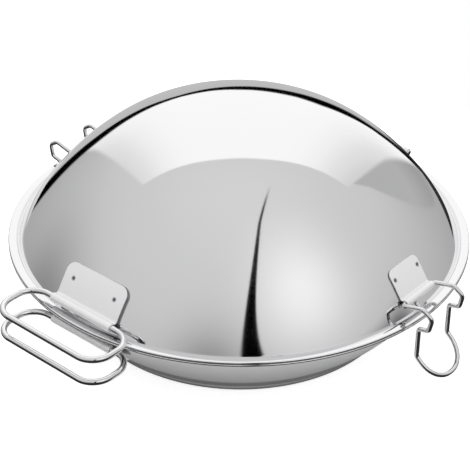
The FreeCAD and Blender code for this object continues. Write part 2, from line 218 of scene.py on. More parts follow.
def lid_section():
    """Closed section of the lid: dome, root bend, locating bead and hemmed flange."""
    level = BEAD_LEVEL + SHEET + ROOT_BEND
    root = (DOME.reach(level, -ROOT_BEND), level)
    last, back = bearing(SIDE_HUB, root), bearing(root, SIDE_HUB)
    top, inner, hem = LID_SEAT + 2 * SHEET, LID_SEAT + SHEET, RIM - HEM_WIDTH
    bead_top, bead_under = (BEAD_UPPER, BEAD_LEVEL + SHEET), (BEAD_UNDER, BEAD_LEVEL)
    riser_top = (BEAD_UPPER + MOUTH_RUN * (top - BEAD_LEVEL - SHEET), top)
    riser_under = (BEAD_UNDER + MOUTH_RUN * (inner - BEAD_LEVEL), inner)
    points = dome_line(0.0, last, 1.4)
    points += sweep(root, ROOT_BEND, back, -math.pi / 2, 0.1)
    points += [bead_top]
    points += turn_corner(bead_top, riser_top, (RIM, top), RISER_BEND + SHEET, 6)
    points += turn_corner(riser_top, (RIM, top), (RIM, LID_SEAT), HEM_ROUND)
    points += turn_corner((RIM, top), (RIM, LID_SEAT), (hem, LID_SEAT), HEM_ROUND)
    points += [(hem, LID_SEAT), (hem, inner)]
    points += turn_corner((hem, inner), riser_under, bead_under, RISER_BEND)
    points += turn_corner(riser_under, bead_under, (root[0], BEAD_LEVEL), RISER_BEND)
    points += sweep(root, ROOT_BEND + SHEET, -math.pi / 2, back, 0.2)
    return points + dome_line(SHEET, last, 3.0)[::-1]


def cup_section():
    """Closed section of the steel cup bonded under the pan."""
    inner = BASE - CUP_SHEET
    points = stride((0, 0), (BASE - CUP_ROUND, 0), 8)
    points += turn_corner((0, 0), (BASE, 0), (BASE, FLOOR_LEVEL), CUP_ROUND, 8)
    points += turn_corner((BASE, 0), (BASE, FLOOR_LEVEL), (inner, FLOOR_LEVEL), CUP_LIP_ROUND)
    points += [(inner, FLOOR_LEVEL), (inner, CUP_SHEET)]
    return points + stride((inner, CUP_SHEET), (0, CUP_SHEET), 8)


# ---- Meshes

def spun(name, section, segments=320):
    """A closed section turned round the axis, with one vertex at each pole."""
    ring = [section[0]]
    for point in section[1:]:
        if math.dist(point, ring[-1]) > POINTS_APART:
            ring.append(point)
    verts, faces, rows = [], [], []
    for radius, height in ring:
        if radius < 1e-6:
            rows.append([len(verts)] * segments)
            verts.append((0, 0, height * MM))
            continue
        rows.append(list(range(len(verts), len(verts) + segments)))
        for i in range(segments):
            angle = 2 * math.pi * i / segments
            verts.append((radius * math.cos(angle) * MM, radius * math.sin(angle) * MM,
                          height * MM))
    for low, high in zip(rows, rows[1:]):
        for i in range(segments):
            j = (i + 1) % segments
            corners = list(dict.fromkeys((low[i], low[j], high[j], high[i])))
            if len(corners) > 2:
                faces.append(corners)
    return finished(name, verts, faces, 35)


def finished(name, verts, faces, sharp):
    """A mesh object with its faces outwards, smooth but for its sharp edges."""
    mesh = bpy.data.meshes.new(name)
    mesh.from_pydata(verts, [], faces)
    shape = bmesh.new()
    shape.from_mesh(mesh)
    bmesh.ops.recalc_face_normals(shape, faces=shape.faces)
    shape.to_mesh(mesh)
    shape.free()
    mesh.shade_smooth()
    mesh.set_sharp_from_angle(angle=sharp * DEG)
    thing = bpy.data.objects.new(name, mesh)
    bpy.context.scene.collection.objects.link(thing)
    return thing


def bent_wire(corners, bends, pitch=0.5):
    """Points of a closed wire line whose corners are bent to their radii."""
    line = []
    count = len(corners)
    for i, (corner, bend) in enumerate(zip(corners, bends)):
        back = (corners[i - 1] - corner).normalized()
        ahead = (corners[(i + 1) % count] - corner).normalized()
        half = back.angle(ahead) / 2
        hub = corner + (back + ahead).normalized() * (bend / math.sin(half))
        first = corner + back * (bend / math.tan(half)) - hub
        last = corner + ahead * (bend / math.tan(half)) - hub
        swing = first.angle(last)
        axis = first.cross(last).normalized()
        steps = max(6, math.ceil(swing * bend / pitch))
        for k in range(steps + 1):
            line.append(hub + Matrix.Rotation(swing * k / steps, 3, axis) @ first)
    dense = []
    for i, point in enumerate(line):
        dense.append(point)
        after = line[(i + 1) % len(line)]
        parts = math.ceil((after - point).length / STRAIGHT_PITCH)
        for k in range(1, parts):
            dense.append(point.lerp(after, k / parts))
    return dense


def wire_ring(name, line, thickness, sides=28):
    """A round wire along a closed line, its rings carried along without twist."""
    count = len(line)
    heading = [(line[(i + 1) % count] - line[i - 1]).normalized() for i in range(count)]
    normal = heading[0].orthogonal().normalized()
    frames = []
    for i in range(count):
        normal = (normal - heading[i] * normal.dot(heading[i])).normalized()
        frames.append(normal.copy())
    end = (frames[-1] - heading[0] * frames[-1].dot(heading[0])).normalized()
    slip = math.atan2(heading[0].dot(end.cross(frames[0])), end.dot(frames[0]))
    verts, faces = [], []
    for i in range(count):
        side = frames[i]
        up = heading[i].cross(side)
        for k in range(sides):
            angle = 2 * math.pi * k / sides + slip * i / count
            spoke = side * math.cos(angle) + up * math.sin(angle)
            verts.append((line[i] + spoke * (thickness / 2)) * MM)
    for i in range(count):
        j = (i + 1) % count
        for k in range(sides):
            n = (k + 1) % sides
            faces.append((i * sides + k, i * sides + n, j * sides + n, j * sides + k))
    return finished(name, verts, faces, 60)


def plate_line(surface, pin, turn, size):
    """Middle line of a curled plate from its far edge to the end of its curl, with normals."""
    lie = surface.radius + PLATE_GAP + PLATE_SHEET / 2
    curl = size["wire"] / 2 + size["fit"] + PLATE_SHEET / 2
    far, near = lie + size["crease"], curl + size["crease"]
    span = math.dist(surface.centre, pin)
    share = (far ** 2 + span ** 2 - near ** 2) / (2 * far * span)
    start = bearing(surface.centre, pin) + turn * math.acos(share)
    hub = polar(surface.centre, far, start)
    end = start + turn * size["reach"] / lie
    weld = start + turn * (size["reach"] - size["inset"]) / lie
    to_surface, to_pin = bearing(hub, surface.centre), bearing(hub, pin)
    swing = (to_pin - to_surface + math.pi) % (2 * math.pi) - math.pi
    from_pin = bearing(pin, hub)
    last = from_pin - turn * size["wrap"] * DEG
    stations = []
    for centre, radius, a, b, way in (
        (surface.centre, lie, end, start, 1),
        (hub, size["crease"], to_surface, to_surface + swing, -1),
        (pin, curl, from_pin, last, 1),
    ):
        count = max(16, math.ceil(abs(b - a) * radius / 0.4))
        for i in range(count + 1):
            angle = a + (b - a) * i / count
            outward = (way * math.cos(angle), way * math.sin(angle))
            stations.append((polar(centre, radius, angle), outward))
    seat = polar(surface.centre, lie, weld)
    return stations, seat, (math.cos(weld), math.sin(weld))


def sheet_strip(line, spans, dents, verts, burns, faces):
    """Adds a closed strip of sheet: stations with normals, the span across each, weld dents."""
    columns = math.ceil((spans[-1][1] - spans[-1][0]) / STRIP_PITCH)
    first, wide = len(verts), columns + 1
    for (point, normal), (left, right) in zip(line, spans):
        for face in (1, -1):
            for k in range(wide):
                across = left + (right - left) * k / columns
                lift = face * PLATE_SHEET / 2 * (EDGE_SHARE if k in (0, columns) else 1.0)
                burn = 0.0
                if face > 0:
                    for seat, side in dents:
                        away = math.hypot(across - side, math.dist(point, seat))
                        bowl = max(0.0, 1 - (away / DENT_RADIUS) ** 2)
                        lift -= DENT_DEPTH * bowl ** DENT_SHAPE
                        ring = max(0.0, BURN_RADIUS - away) / BURN_FADE
                        burn = max(burn, min(1.0, ring))
                verts.append(Vector((point[0] + normal[0] * lift, across,
                                     point[1] + normal[1] * lift)))
                burns.append(burn)
    rows = [first + 2 * wide * i for i in range(len(line))]
    for low, high in zip(rows, rows[1:]):
        for k in range(columns):
            a, b = low + k, high + k
            faces.append((a, a + 1, b + 1, b))
            faces.append((a + wide, b + wide, b + wide + 1, a + wide + 1))
        for k in (0, columns):
            faces.append((low + k, high + k, high + wide + k, low + wide + k))
    for row in (rows[0], rows[-1]):
        for k in range(columns):
            faces.append((row + k, row + k + 1, row + wide + k + 1, row + wide + k))


def curled_plate(name, surface, pin, turn, size, bearing_deg):
    """Sheet plate: flat run on the shell with rounded corners and welds, then its knuckles."""
    stations, seat, outward = plate_line(surface, pin, turn, size)
    line = [stations[0]]
    for station in stations[1:]:
        if math.dist(station[0], line[-1][0]) > 1e-4:
            line.append(station)
    half, corner = size["width"] / 2, size["corner"]
    spans, along = [], 0.0
    for i, station in enumerate(line):
        if i:
            along += math.dist(line[i - 1][0], station[0])
        short = max(0.0, corner - along)
        reach = half - corner + math.sqrt(corner ** 2 - short ** 2)
        spans.append((-reach, reach))
    dents = [(seat, side * size["spacing"] / 2) for side in (-1, 1)]
    verts, burns, faces = [], [], []
    stop = len(line)
    if "slot" in size:
        stop = next(i for i, (point, _) in enumerate(line) if point[0] > pin[0] - size["slot"])
        for span in size["knuckles"]:
            rest = line[stop - 1:]
            sheet_strip(rest, [span] * len(rest), [], verts, burns, faces)
    sheet_strip(line[:stop], spans[:stop], dents, verts, burns, faces)
    tilt = Vector((outward[0], 0, outward[1])).to_track_quat("Z", "Y").to_matrix()
    for side in (-1, 1):
        base = Vector((seat[0] - outward[0] * NUB_SINK, side * size["spacing"] / 2,
                       seat[1] - outward[1] * NUB_SINK))
        first, second = len(verts), len(verts) + NUB_SIDES
        for end in (-NUB_HALF, NUB_HALF):
            for k in range(NUB_SIDES):
                angle = 2 * math.pi * k / NUB_SIDES
                spoke = (NUB_RADIUS * math.cos(angle), NUB_RADIUS * math.sin(angle), end)
                verts.append(base + tilt @ Vector(spoke))
                burns.append(0.0)
        for k in range(NUB_SIDES):
            n = (k + 1) % NUB_SIDES
            faces.append((first + k, first + n, second + n, second + k))
        faces.append(range(first, second))
        faces.append(range(second, second + NUB_SIDES))
    spin = Matrix.Rotation(bearing_deg * DEG, 3, "Z")
    plate = finished(name, [spin @ vert * MM for vert in verts], faces, 40)
    weld = plate.data.attributes.new("weld", "FLOAT", "POINT")
    weld.data.foreach_set("value", burns)
    return plate


def hinge_rod(name, pin):
    """Hinge pin along Y, turned, with rounded ends."""
    radius, half, end = HINGE_PIN["radius"], HINGE_PIN["half"], HINGE_PIN["end"]
    section = [(0, -half)]
    section += turn_corner((0, -half), (radius, -half), (radius, half), end)
    section += stride((radius, -half + end), (radius, half - end), 3)
    section += turn_corner((radius, -half), (radius, half), (0, half), end)
    rod = spun(name, section + [(0, half)], 48)
    place = Matrix.Translation(Vector((pin[0], 0, pin[1])) * MM)
    rod.data.transform(place @ Matrix.Rotation(math.pi / 2, 4, "X"))
    return rod


def pin_at(surface, height, stand):
    """Centre of a pin that stands off a shell by a distance, at a height."""
    return (surface.reach(height, -stand), height)


def loop_line(pin, bearing_deg):
    """Handle wire: a level loop with four round corners."""
    spin = Matrix.Rotation(bearing_deg * DEG, 3, "Z")
    inner, outer, half = pin[0], pin[0] + LOOP["depth"], LOOP["half"]
    corners = [(inner, half), (outer, half), (outer, -half), (inner, -half)]
    points = [spin @ Vector((x, y, pin[1])) for x, y in corners]
    return bent_wire(points, [LOOP["corner"]] * 4)


def bail_line(pin, bearing_deg):
    """Latch wire released: pin, arms over the rim, hooks, legs and the round pull."""
    over, under = LID_SEAT + 2 * SHEET, PAN_HEIGHT - 2 * SHEET
    slope, flare = BAIL["leg_slope"] * DEG, BAIL["pull_flare"] * DEG
    leg, pull = BAIL["leg"], BAIL["pull"]
    shoulder = (RIM + BAIL["over"][0], over + BAIL["over"][1])
    drop = (RIM + BAIL["drop"][0], under - BAIL["drop"][1])
    heel = (RIM + BAIL["heel"][0], under - BAIL["heel"][1])
    hook = (RIM - BAIL["hook"][0], under - BAIL["hook"][1])
    ankle = (hook[0] - leg * math.cos(slope), hook[1] - leg * math.sin(slope))
    foot = (ankle[0] + pull * math.sin(flare), ankle[1] - pull * math.cos(flare))
    run = [pin, shoulder, drop, heel, hook, ankle, foot]
    bends = [BAIL["elbow"], *BAIL["bends"]]
    swing = Matrix.Rotation(-RELEASE * DEG, 3, "Y")
    spin = Matrix.Rotation(bearing_deg * DEG, 3, "Z")
    centre = Vector((pin[0], 0, pin[1]))
    points = []
    for side, order in ((1, run), (-1, run[::-1])):
        for x, z in order:
            points.append(Vector((x, side * BAIL["half"], z)))
    points = [spin @ (swing @ (point - centre) + centre) for point in points]
    return bent_wire(points, bends + bends[::-1], 0.35)


# ---- Node helper and finishes

def grey(hex_colour):
    """sRGB hex to linear colour."""
    parts = [int(hex_colour[i:i + 2], 16) / 255 for i in (1, 3, 5)]
    return [c / 12.92 if c <= 0.04045 else ((c + 0.055) / 1.055) ** 2.4 for c in parts] + [1.0]


def add(tree, kind, inputs=(), **settings):
    """Adds a node, sets what is named on it, and links or sets its inputs in order or by name."""
    node = tree.nodes.new(kind)
    for name, value in settings.items():
        setattr(node, name, value)
    pairs = inputs.items() if isinstance(inputs, dict) else enumerate(inputs)
    for key, value in pairs:
        if value is None:
            continue
        if isinstance(value, bpy.types.Node):
            value = value.outputs[0]
        if isinstance(value, bpy.types.NodeSocket):
            tree.links.new(value, node.inputs[key])
        else:
            node.inputs[key].default_value = value
    return node


def new_material(name):
    material = bpy.data.materials.new(name)
    material.use_nodes = True
    material.node_tree.nodes.clear()
    return material, material.node_tree


def ramp(node, stops):
    """Sets the stops of a colour ramp to grey levels."""
    elements = node.color_ramp.elements
    while len(elements) < len(stops):
        elements.new(0.5)
    for element, (place, level) in zip(elements, stops):
        element.position = place
        element.color = (level, level, level, 1)
    return node


def spun_polish(name, colour, low, high, groove):
    """Stainless steel sheet, mirror polished on the spinning lathe: hairlines run round it."""
    material, tree = new_material(name)
    place = add(tree, "ShaderNodeTexCoord")
    split = add(tree, "ShaderNodeSeparateXYZ", [place.outputs["Object"]])
    flat = add(tree, "ShaderNodeVectorMath", [place.outputs["Object"], (1, 1, 0)],
               operation="MULTIPLY")
    radius = add(tree, "ShaderNodeVectorMath", [flat], operation="LENGTH")
    around = add(tree, "ShaderNodeMath", [split.outputs["Y"], split.outputs["X"]],
                 operation="ARCTAN2")
    slow = add(tree, "ShaderNodeMath", [around, 0.004], operation="MULTIPLY")
    lathe = add(tree, "ShaderNodeCombineXYZ", [radius.outputs["Value"], slow,
                                               split.outputs["Z"]])
    # Polishing hairlines are about 0.02 mm apart; drawn at 0.6 mm so that they show
    hair = add(tree, "ShaderNodeTexNoise", {"Vector": lathe, "Scale": 1600.0, "Detail": 3.0,
                                            "Roughness": 0.6})
    # Slow waves of the spun sheet, about 60 mm across
    wave = add(tree, "ShaderNodeTexNoise", {"Vector": place.outputs["Object"], "Scale": 16.0,
                                            "Detail": 1.0})
    # Wiping haze, some 25 mm across
    haze = add(tree, "ShaderNodeTexNoise", {"Vector": place.outputs["Object"], "Scale": 40.0,
                                            "Detail": 4.0})
    mixed = add(tree, "ShaderNodeMath", [haze, 0.7, 0.15], operation="MULTIPLY_ADD")
    worn = add(tree, "ShaderNodeMath", [hair, 0.3, mixed], operation="MULTIPLY_ADD")
    rough = add(tree, "ShaderNodeMapRange", {"Value": worn, "From Min": 0.35, "From Max": 0.85,
                                             "To Min": low, "To Max": high})
    buckle = add(tree, "ShaderNodeBump", {"Height": wave, "Strength": 1.0, "Distance": 0.00006})
    lines = add(tree, "ShaderNodeBump", {"Height": hair, "Strength": groove, "Distance": 0.00001,
                                         "Normal": buckle})
    shader = add(tree, "ShaderNodeBsdfPrincipled",
                 {"Base Color": grey(colour), "Metallic": 1.0, "Roughness": rough.outputs[0],
                  "Normal": lines})
    add(tree, "ShaderNodeOutputMaterial", [shader])
    return material


# Real strip is all metal. Part metal is used because the photograph's plates are this light
PLATE_METAL = 0.35


def satin_sheet(name, colour, burnt, low, high):
    """Stainless steel strip as it comes from the mill: soft sheen, rolling lines, weld burns."""
    material, tree = new_material(name)
    place = add(tree, "ShaderNodeTexCoord")
    stretched = add(tree, "ShaderNodeMapping", {"Vector": place.outputs["Object"],
                                                "Scale": (1.0, 1.0, 0.06)})
    # Rolling lines are about 0.05 mm apart; drawn at 0.5 mm so that they show
    grain = add(tree, "ShaderNodeTexNoise", {"Vector": stretched, "Scale": 2000.0,
                                             "Detail": 3.0})
    # Uneven sheen, about 17 mm across
    cloud = add(tree, "ShaderNodeTexNoise", {"Vector": place.outputs["Object"], "Scale": 60.0,
                                             "Detail": 3.0})
    blend = add(tree, "ShaderNodeMath", [grain, 0.3, cloud], operation="MULTIPLY_ADD")
    rough = add(tree, "ShaderNodeMapRange", {"Value": blend, "From Min": 0.4, "From Max": 0.9,
                                             "To Min": low, "To Max": high})
    relief = add(tree, "ShaderNodeBump", {"Height": grain, "Strength": 0.05,
                                          "Distance": 0.00002})
    weld = add(tree, "ShaderNodeAttribute", attribute_name="weld")
    # Sockets 6 and 7 are the mix's two colours, and output 2 its colour
    tint = add(tree, "ShaderNodeMix", {"Factor": weld.outputs["Fac"], 6: grey(colour),
                                       7: grey(burnt)}, data_type="RGBA")
    shader = add(tree, "ShaderNodeBsdfPrincipled",
                 {"Base Color": tint.outputs[2], "Metallic": PLATE_METAL,
                  "Roughness": rough.outputs[0], "Normal": relief})
    add(tree, "ShaderNodeOutputMaterial", [shader])
    return material


def drawn_wire(name, colour, low, high):
    """Bright stainless wire, drawn through a die: an even shine with faint marks."""
    material, tree = new_material(name)
    place = add(tree, "ShaderNodeTexCoord")
    # Die marks are fine lines along a real wire; drawn as spots of 1.4 mm so that they show
    score = add(tree, "ShaderNodeTexNoise", {"Vector": place.outputs["Object"], "Scale": 700.0,
                                             "Detail": 2.0})
    # Rubbed places, about 11 mm across
    rub = add(tree, "ShaderNodeTexNoise", {"Vector": place.outputs["Object"], "Scale": 90.0,
                                           "Detail": 2.0})
    blend = add(tree, "ShaderNodeMath", [score, 0.4, rub], operation="MULTIPLY_ADD")
    rough = add(tree, "ShaderNodeMapRange", {"Value": blend, "From Min": 0.45, "From Max": 0.95,
                                             "To Min": low, "To Max": high})
    relief = add(tree, "ShaderNodeBump", {"Height": score, "Strength": 0.1,
                                          "Distance": 0.00002})
    shader = add(tree, "ShaderNodeBsdfPrincipled",
                 {"Base Color": grey(colour), "Metallic": 1.0, "Roughness": rough.outputs[0],
                  "Normal": relief})
    add(tree, "ShaderNodeOutputMaterial", [shader])
    return material


# ---- Studio: camera, table and soft surroundings

# Camera: angles in degrees, distance and shifts in rim radii
CAMERA_BEARING = -50.0
CAMERA_HEIGHT = 32.41
CAMERA_ROLL = 0.72
CAMERA_DISTANCE = 6.0
CAMERA_SHIFT = (-0.017, -0.054)
FOCAL_PIXELS = 1362.0
FRAME_PIXELS = 470
FILM_WIDTH = 36.0

# Tones of the room as gloss shows it: grey levels, in ramps as (place, level)
WALL_TONES = [(0.0, 0.55), (0.30, 0.42), (0.40, 0.45), (0.50, 0.52), (0.60, 0.58),
              (0.75, 0.665), (0.90, 0.70), (1.0, 0.75)]
PANEL_TONES = [(0.20, 1.0), (0.33, 0.98), (0.44, 0.918), (0.50, 0.857), (0.55, 0.80),
               (0.60, 0.76), (0.65, 0.69)]
PANEL_GAIN = 1.10
GROUND_TONE = 0.03
SCREEN_TONES = (0.39, 0.50)
TABLE_TONE = 0.56
BLACK = 0.0
EVEN_LIGHT = 0.95
WHITE = 1.0

# Directions in the room: x to the camera's right, y away from it, z up
# Soft patches on the walls: direction, tightness, and how much lighter or duller
PATCHES = (
    ((0.478, -0.569, 0.669), 15.0, 0.33),
    ((-0.21, -0.94, 0.27), 22.0, -0.33),
    ((-0.98, 0.17, -0.05), 14.0, -0.26),
    ((0.629, 0.749, 0.208), 60.0, -0.08),
)
PANEL_LEFT_EDGE = (0.767, 0.444, 0.463)
PANEL_RIGHT_EDGE = (-0.731, 0.450, 0.512)
PANEL_TOP, PANEL_TOP_SLOPES = 1.86, (-0.30, 0.02)
SCREEN_SILL = (0.114, 0.890, 0.442)

# Far edge of the table, an oval on the plane behind the object; its line wanders and its
# weight changes along the oval, in ramps as (place across, value)
OVAL_CENTRE, OVAL_HALF = (-0.13, -0.25), (0.42, 0.38)
EDGE_COURSE = [(0.05, 0.495), (0.20, 0.484), (0.33, 0.468), (0.43, 0.490), (0.53, 0.515),
               (0.60, 0.553), (0.76, 0.550), (0.85, 0.576), (0.93, 0.590)]
EDGE_WEIGHT = [(0.10, 0.64), (0.21, 0.46), (0.33, 0.34), (0.43, 0.22), (0.53, 0.33),
               (0.60, 0.46), (0.76, 0.46), (0.85, 0.52), (0.93, 0.33), (0.97, 0.17)]

# Dark gap overhead: its middle line and half width, as powers of the distance away
GAP_LINE = (0.194, 0.11, 0.064)
GAP_HALF = (0.0085, 0.040)

# Table, in metres
TABLE_RADIUS, TABLE_DROP = 0.36, 0.0002
# White paint of the table, and the dark painted on it only for gloss, as dark reflections and
# shade
TABLE_PAINT, GLOSS_PAINTED_DARK = 0.79, 0.03
CAMERA_GLOW = 0.70
# Glowing band on the table, seen only in gloss: a painted reflection on the pan's wall
BAND_SCALE = 5.0
BAND_GLOW = [(0.58, 0.0), (0.68, 0.15), (0.74, 0.15), (0.80, 0.0)]


def photograph_camera():
    """Camera at the photograph's height, distance and slight roll."""
    height, roll = CAMERA_HEIGHT * DEG, CAMERA_ROLL * DEG
    ahead = Vector((0, math.cos(height), -math.sin(height)))
    right, up = Vector((1, 0, 0)), Vector((0, math.sin(height), math.cos(height)))
    across = right * math.cos(roll) + up * math.sin(roll)
    top = up * math.cos(roll) - right * math.sin(roll)
    place = Vector((CAMERA_SHIFT[0], 0, CAMERA_SHIFT[1])) * RIM
    place -= ahead * CAMERA_DISTANCE * RIM
    place.z += PAN_HEIGHT + SEAT_GAP / 2
    spin = Matrix.Rotation(CAMERA_BEARING * DEG, 3, "Z")
    lens = bpy.data.cameras.new("studio_camera")
    lens.sensor_width = FILM_WIDTH
    lens.lens = FOCAL_PIXELS / FRAME_PIXELS * FILM_WIDTH
    lens.clip_start, lens.clip_end = 0.01, 50.0
    camera = bpy.data.objects.new("studio_camera", lens)
    bpy.context.scene.collection.objects.link(camera)
    turned = Matrix((across, top, -ahead)).transposed()
    camera.matrix_world = Matrix.Translation(spin @ place * MM) @ (spin @ turned).to_4x4()
    bpy.context.scene.camera = camera


def dark_ground(tree, y, z):
    """Dark ground on the camera's side."""
    low = add(tree, "ShaderNodeMapRange", {"Value": z, "From Min": 0.30, "From Max": 0.12},
              interpolation_type="SMOOTHSTEP")
    near = add(tree, "ShaderNodeMapRange", {"Value": y, "From Min": 0.10, "From Max": -0.20},
               interpolation_type="SMOOTHSTEP")
    return add(tree, "ShaderNodeMath", [low, near], operation="MULTIPLY"), GROUND_TONE


def dull_screen(tree, unit, z, behind):
    """Duller screen at the right, behind the white panel's edge."""
    sill = add(tree, "ShaderNodeVectorMath", [unit, SCREEN_SILL], operation="DOT_PRODUCT")
    screen = add(tree, "ShaderNodeMapRange",
                 {"Value": sill.outputs["Value"], "From Min": 0.703, "From Max": 0.722},
                 interpolation_type="SMOOTHSTEP")
    edge = add(tree, "ShaderNodeVectorMath", [unit, PANEL_RIGHT_EDGE],
               operation="DOT_PRODUCT")
    beyond = add(tree, "ShaderNodeMapRange",
                 {"Value": edge.outputs["Value"], "From Min": 0.05, "From Max": 0.03})
    for limit in (beyond, behind):
        screen = add(tree, "ShaderNodeMath", [screen, limit], operation="MULTIPLY")
    dusk = add(tree, "ShaderNodeMapRange",
               {"Value": z, "From Min": -0.15, "From Max": 0.10, "To Min": SCREEN_TONES[0],
                "To Max": SCREEN_TONES[1]})
    return screen, dusk


def white_panel(tree, unit, x, p, q, behind):
    """White panel behind the object: two straight side edges and a nearly level upper one."""
    tops = [add(tree, "ShaderNodeMath", [p, slope, PANEL_TOP], operation="MULTIPLY_ADD")
            for slope in PANEL_TOP_SLOPES]
    top = add(tree, "ShaderNodeMath", tops, operation="MAXIMUM")
    under = add(tree, "ShaderNodeMath", [top, q], operation="SUBTRACT")
    inside = add(tree, "ShaderNodeMapRange",
                 {"Value": under, "From Min": -0.05, "From Max": 0.05},
                 interpolation_type="SMOOTHSTEP")
    limits = [behind]
    for edge in (PANEL_LEFT_EDGE, PANEL_RIGHT_EDGE):
        side = add(tree, "ShaderNodeVectorMath", [unit, edge], operation="DOT_PRODUCT")
        limits.append(add(tree, "ShaderNodeMapRange",
                          {"Value": side.outputs["Value"], "From Min": -0.012,
                           "From Max": 0.022}, interpolation_type="SMOOTHSTEP"))
    limits.append(add(tree, "ShaderNodeMapRange",
                      {"Value": q, "From Min": -0.33, "From Max": -0.27}))
    for limit in limits:
        inside = add(tree, "ShaderNodeMath", [inside, limit], operation="MULTIPLY")
    across = add(tree, "ShaderNodeMath", [x], operation="ABSOLUTE")
    panel = ramp(add(tree, "ShaderNodeValToRGB", [across]), PANEL_TONES)
    return inside, add(tree, "ShaderNodeMath", [panel, PANEL_GAIN], operation="MULTIPLY")


def table_edge(tree, p, q, behind):
    """Duller table top behind the object, and the dark rim of its far edge."""
    wide, tall = [
        add(tree, "ShaderNodeMath", [value, 1 / half, -centre / half],
            operation="MULTIPLY_ADD")
        for value, centre, half in zip((p, q), OVAL_CENTRE, OVAL_HALF)]
    wide = add(tree, "ShaderNodeMath", [wide, wide], operation="MULTIPLY")
    total = add(tree, "ShaderNodeMath", [tall, tall, wide], operation="MULTIPLY_ADD")
    reach = add(tree, "ShaderNodeMath", [total, 0.5], operation="POWER")
    along = add(tree, "ShaderNodeMath", [p, 0.6], operation="ADD")
    course = ramp(add(tree, "ShaderNodeValToRGB", [along]), EDGE_COURSE)
    weight = ramp(add(tree, "ShaderNodeValToRGB", [along]), EDGE_WEIGHT)
    off = add(tree, "ShaderNodeMath", [reach, 0.5], operation="MULTIPLY")
    off = add(tree, "ShaderNodeMath", [off, course], operation="SUBTRACT")
    top = add(tree, "ShaderNodeMapRange", {"Value": off, "From Min": 0.06, "From Max": -0.05},
              interpolation_type="SMOOTHSTEP")
    top = add(tree, "ShaderNodeMath", [top, behind], operation="MULTIPLY")
    off = add(tree, "ShaderNodeMath", [off], operation="ABSOLUTE")
    off = add(tree, "ShaderNodeMath", [off, weight], operation="DIVIDE")
    rim = add(tree, "ShaderNodeMapRange", {"Value": off, "From Min": 0.24, "From Max": 0.12},
              interpolation_type="SMOOTHSTEP")
    lean = add(tree, "ShaderNodeMath", [p, 0.10, q], operation="MULTIPLY_ADD")
    ends = add(tree, "ShaderNodeMapRange",
               {"Value": lean, "From Min": -0.50, "From Max": -0.44})
    for limit in (ends, behind):
        rim = add(tree, "ShaderNodeMath", [rim, limit], operation="MULTIPLY")
    return (top, TABLE_TONE), (rim, BLACK)


def overhead_gap(tree, x, y, z):
    """Dark gap between the overhead cloths, widening towards the camera."""
    height = add(tree, "ShaderNodeMath", [z, 0.01], operation="MAXIMUM")
    u = add(tree, "ShaderNodeMath", [x, height], operation="DIVIDE")
    t = add(tree, "ShaderNodeMath", [y, height], operation="DIVIDE")
    bow = add(tree, "ShaderNodeMath", [t, GAP_LINE[2], GAP_LINE[1]], operation="MULTIPLY_ADD")
    middle = add(tree, "ShaderNodeMath", [bow, t, GAP_LINE[0]], operation="MULTIPLY_ADD")
    aside = add(tree, "ShaderNodeMath", [u, middle], operation="SUBTRACT")
    aside = add(tree, "ShaderNodeMath", [aside], operation="ABSOLUTE")
    square = add(tree, "ShaderNodeMath", [t, t], operation="MULTIPLY")
    half = add(tree, "ShaderNodeMath", [square, GAP_HALF[1], GAP_HALF[0]],
               operation="MULTIPLY_ADD")
    ratio = add(tree, "ShaderNodeMath", [aside, half], operation="DIVIDE")
    gap = add(tree, "ShaderNodeMapRange", {"Value": ratio, "From Min": 1.2, "From Max": 0.8},
              interpolation_type="SMOOTHSTEP")
    fade = add(tree, "ShaderNodeMapRange", {"Value": t, "From Min": 0.2, "From Max": -0.15},
               interpolation_type="SMOOTHSTEP")
    above = add(tree, "ShaderNodeMapRange", {"Value": z, "From Min": 0.0, "From Max": 0.05})
    for limit in (fade, above):
        gap = add(tree, "ShaderNodeMath", [gap, limit], operation="MULTIPLY")
    return gap, BLACK


